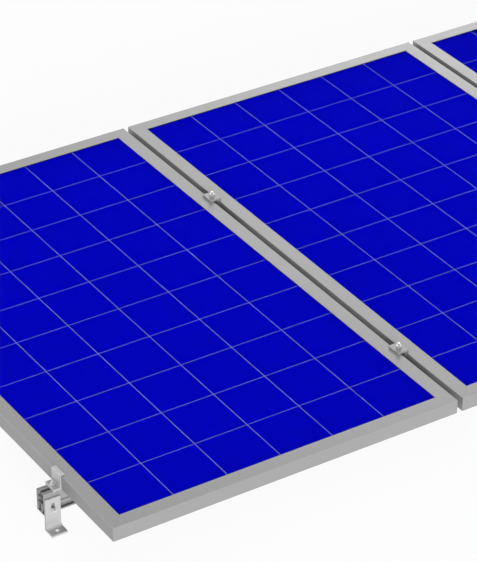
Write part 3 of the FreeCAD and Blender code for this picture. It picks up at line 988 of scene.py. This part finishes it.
print("thread of", thread_pitch * 1000, "mm pitch")

# %% [markdown]
# ### Heads
# The head is a flat hammer shape with two opposite corners cut off. Its outline is lofted through
# four levels, so that its rims are slightly rounded, as forged ones are.

# %% T bolts
head_length, head_width, head_height = 0.023, 0.0096, 0.004
head_cut = 0.002
head_rim = 0.0004
shank_in_head = 0.001


def head_outline(inset, z):
    """The head's outline at one level, with its length along Y."""
    half_width, half_length = head_width / 2 - inset, head_length / 2 - inset
    return [(-half_width, -half_length, z), (half_width - head_cut, -half_length, z),
            (half_width, head_cut - half_length, z), (half_width, half_length, z),
            (head_cut - half_width, half_length, z), (-half_width, half_length - head_cut, z)]


def t_bolt(name, length):
    """A T bolt along Z with its head below z = 0."""
    bm = bmesh.new()
    threaded_shank(bm, -shank_in_head, length)
    levels = ((head_rim, -head_height), (0, head_rim - head_height), (0, -head_rim), (head_rim, 0))
    loft(bm, [head_outline(inset, z) for inset, z in levels])
    return pattern_mesh(name, bm, sharp_degrees=28)


foot_bolt = t_bolt("foot bolt", length=0.020)
end_bolt = t_bolt("end bolt", length=0.025)
mid_bolt = t_bolt("mid bolt", length=0.065)
print("bolts:", [len(mesh.polygons) for mesh in (foot_bolt, end_bolt, mid_bolt)], "faces")

# %% [markdown]
# ## Places of the bolts and nuts
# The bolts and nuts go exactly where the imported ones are. Those of the feet lie along Y, so their
# pattern is turned by a quarter.

# %% Places of the bolts and nuts
end_places = (-1.518, 1.518)
gap_places = (-0.504, 0.504)
rail_half_width = 0.017
foot_thickness = 0.006
channel_lip = 0.003
foot_bolt_z = 0.0581
clamp_bolt_z = 0.099
end_seat_z = 0.112
mid_seat_z = 0.150
lying = Matrix.Rotation(math.radians(90), 4, "X")


def spots(xs, ys, z, turn=Matrix()):
    """Places at every crossing of the given x and y."""
    return [Matrix.Translation((x, y, z)) @ turn for y in ys for x in xs]


near_faces = [y - rail_half_width for y in rail_places]
foot_bolts = spots(foot_places, [y + channel_lip for y in near_faces], foot_bolt_z, lying)
foot_nuts = spots(foot_places, [y - foot_thickness for y in near_faces], foot_bolt_z, lying)
end_bolts = spots(end_places, rail_places, clamp_bolt_z)
mid_bolts = spots(gap_places, rail_places, clamp_bolt_z)
clamp_nuts = spots(end_places, rail_places, end_seat_z) + spots(gap_places, rail_places, mid_seat_z)
print(len(foot_nuts), "places on feet and", len(clamp_nuts), "on clamps")

# %% [markdown]
# ### Bolts and nuts in place
# Each kind becomes one piece, as in the record. The nuts are turned by different small angles,
# because no two are tightened alike.

# %% Bolts and nuts in place
flats_apart = 60
turn_step = 23


def tightened(places):
    """The places of nuts, each turned a little differently."""
    turned = []
    for index, place in enumerate(places):
        degrees = turn_step * index % flats_apart - flats_apart / 2
        turned.append(place @ Matrix.Rotation(math.radians(degrees), 4, "Z"))
    return turned


for name, pattern, places in (
    ("foot_t_bolts", foot_bolt, foot_bolts),
    ("end_clamp_t_bolts", end_bolt, end_bolts),
    ("mid_clamp_t_bolts", mid_bolt, mid_bolts),
    ("foot_nuts", nut, tightened(foot_nuts)),
    ("clamp_nuts", nut, tightened(clamp_nuts)),
):
    mesh = repeated(name, (pattern, places))
    piece = dressed(f"threaded_{name}", mesh, "stainless_steel", name)
    print(piece.name, "with", len(places), "copies and", len(piece.data.polygons), "faces")

# %% [markdown]
# ## Junction boxes
# On the back of each panel a shallow plastic box takes the panel's two leads and its diodes. Its
# tray is bonded to the film, and a lid snaps on from below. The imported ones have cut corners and
# plain walls, but a moulding leaves its tool more easily with round corners. Tray and lid are
# lofted from level outlines with such corners, so one function draws them all.

# %% Outline with round corners
corner_radius = 0.0136
corner_steps = 6


def rounded(half_x, half_y, inset, z, radius=corner_radius):
    """A level rectangle with round corners, moved in by the inset."""
    points = []
    for quarter, (side_x, side_y) in enumerate(((1, 1), (-1, 1), (-1, -1), (1, -1))):
        for step in range(corner_steps + 1):
            angle = math.pi / 2 * (quarter + step / corner_steps)
            points.append((side_x * (half_x - radius) + (radius - inset) * math.cos(angle),
                           side_y * (half_y - radius) + (radius - inset) * math.sin(angle), z))
    return points


print("corners of", corner_radius * 1000, "mm, in", corner_steps, "steps")

# %% [markdown]
# ### Tray
# The tray has a foot to bond on, a rim that stiffens its mouth, and walls that stand back a little
# between them. One loft makes it from the inside out. It ends a tenth of a millimetre from the lid
# and the film, so that no two surfaces share a plane.

# %% Tray
tray_half_x, tray_half_y = 0.055, 0.045
tray_low, tray_high = 0.1197, 0.1387
tray_wall = 0.0024
tray_gap = 0.0001
moulded_edge = 0.0003
wall_inset = 0.0009
rim_height, rim_slope = 0.0024, 0.0008
foot_height, foot_slope = 0.0016, 0.0012

bm = bmesh.new()
loft(bm, [rounded(tray_half_x, tray_half_y, inset, z) for inset, z in (
    (tray_wall, tray_high - tray_wall),
    (tray_wall, tray_low + tray_gap),
    (moulded_edge, tray_low + tray_gap),
    (0.0, tray_low + tray_gap + moulded_edge),
    (0.0, tray_low + rim_height),
    (wall_inset, tray_low + rim_height + rim_slope),
    (wall_inset, tray_high - foot_height - foot_slope),
    (0.0, tray_high - foot_height),
    (0.0, tray_high - tray_gap),
)])
tray = pattern_mesh("tray", bm, sharp_degrees=50)
print("tray:", len(tray.polygons), "faces")

# %% [markdown]
# ### Cable glands
# Each lead leaves through a gland: a hexagon to hold it by, a neck, and a ribbed cap that squeezes
# a rubber ring onto the lead. The ribs are a wave on the radius of the cap's rings. The bore stays
# open, because the record has an outlet there for a lead.

# %% Gland
gland_size = 0.015
gland_bore_radius = 0.0032
gland_length = 0.013
gland_root_radius = 0.0068
gland_neck_radius = 0.0062
hexagon_height = 0.0038
cap_start = 0.0046
cap_profile = ((0.0071, cap_start), (0.0073, 0.0052), (0.0070, 0.0095))
cap_dome = ((0.0062, 0.0112), (0.0050, 0.0125), (0.0042, gland_length))
cap_ribs = 12
rib_depth = 0.0003
mouth_bevel = 0.0004


def ribbed(radius):
    """A radius that waves in and out round the cap."""
    return lambda angle: radius - rib_depth * (1 - math.cos(cap_ribs * angle)) / 2


def hexagon(inset):
    """The outline of the gland's hexagon, moved in by the inset."""
    return lambda angle: flat_radius(angle, gland_size) - inset


bm = bmesh.new()
loft(bm, [ring(radius, z) for radius, z in (
    (gland_bore_radius, -tray_wall),
    (gland_root_radius, -tray_wall),
    (gland_root_radius, 0.0),
    (hexagon(moulded_edge), 0.0),
    (hexagon(0.0), moulded_edge),
    (hexagon(0.0), hexagon_height - moulded_edge),
    (hexagon(moulded_edge), hexagon_height),
    (gland_neck_radius, hexagon_height),
    (gland_neck_radius, cap_start),
    *((ribbed(radius), z) for radius, z in cap_profile),
    *cap_dome,
    (gland_bore_radius + mouth_bevel, gland_length),
    (gland_bore_radius, gland_length - mouth_bevel),
)], closed=True)
gland = pattern_mesh("gland", bm, sharp_degrees=40)
print("gland:", len(gland.polygons), "faces")

# %% [markdown]
# ### Lid
# The lid's rim stands proud of a sunk field, and low ribs across the field stiffen it and shed
# heat. Rim and field are more outlines in one loft, from the tray's side to the side seen from
# below.

# %% Lid
lid_half_x, lid_half_y = 0.0565, 0.0465
lid_low, lid_high = 0.1171, 0.1197
lid_round = 0.0008
lid_rim_width = 0.004
field_depth, field_slope = 0.0009, 0.0005
rib_count, rib_pitch = 9, 0.0085
rib_half_width, rib_half_length = 0.0013, 0.028
rib_corner = 0.0012
rib_profile = ((0.0, field_depth + 0.0003), (0.0, 0.0006), (0.0004, 0.0002))

bm = bmesh.new()
loft(bm, [rounded(lid_half_x, lid_half_y, inset, z) for inset, z in (
    (moulded_edge, lid_high),
    (0.0, lid_high - moulded_edge),
    (0.0, lid_low + lid_round),
    (0.0002, lid_low + 0.0003),
    (lid_round, lid_low),
    (lid_rim_width, lid_low),
    (lid_rim_width + field_slope, lid_low + field_depth),
)])
for index in range(rib_count):
    off_x = (index - (rib_count - 1) / 2) * rib_pitch
    rib = [rounded(rib_half_width, rib_half_length, inset, lid_low + up, rib_corner)
           for inset, up in rib_profile]
    loft(bm, [[(x + off_x, y, z) for x, y, z in outline] for outline in rib])
lid = pattern_mesh("lid", bm, sharp_degrees=50)
print("lid:", len(lid.polygons), "faces,", rib_count, "ribs")

# %% [markdown]
# ### The three boxes
# Each box sits near the far end of its panel, with both glands looking back along it. Tray and
# glands become one piece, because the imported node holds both. The lid is a piece of its own, so
# that it can be taken off.

# %% Junction boxes in place
panel_places = {"left": -1.008, "middle": 0.0, "right": 1.008}
box_y = 0.665
gland_x = 0.028
gland_z = 0.1292

mouths = spots((-gland_x, gland_x), (-tray_half_y,), gland_z, lying)
for panel, x in panel_places.items():
    centre = Matrix.Translation((x, box_y, 0))
    glands = (gland, [centre @ mouth for mouth in mouths])
    box = repeated(f"{panel} box", (tray, [centre]), glands)
    cover = repeated("lid", (lid, [centre]))
    dressed(f"{panel}_junction_tray", box, "junction_plastic", f"{panel}_panel_junction_box")
    dressed(f"{panel}_junction_lid", cover, "junction_plastic", f"{panel}_panel_junction_cover")
print("junction boxes at y =", box_y)

# %% [markdown]
# ## Size of the imported model
# The box of the imported model, measured at the start, is printed.

# %% Size of the imported model
bpy.context.view_layer.update()
print("packed", [list(corner) for corner in cad_box])
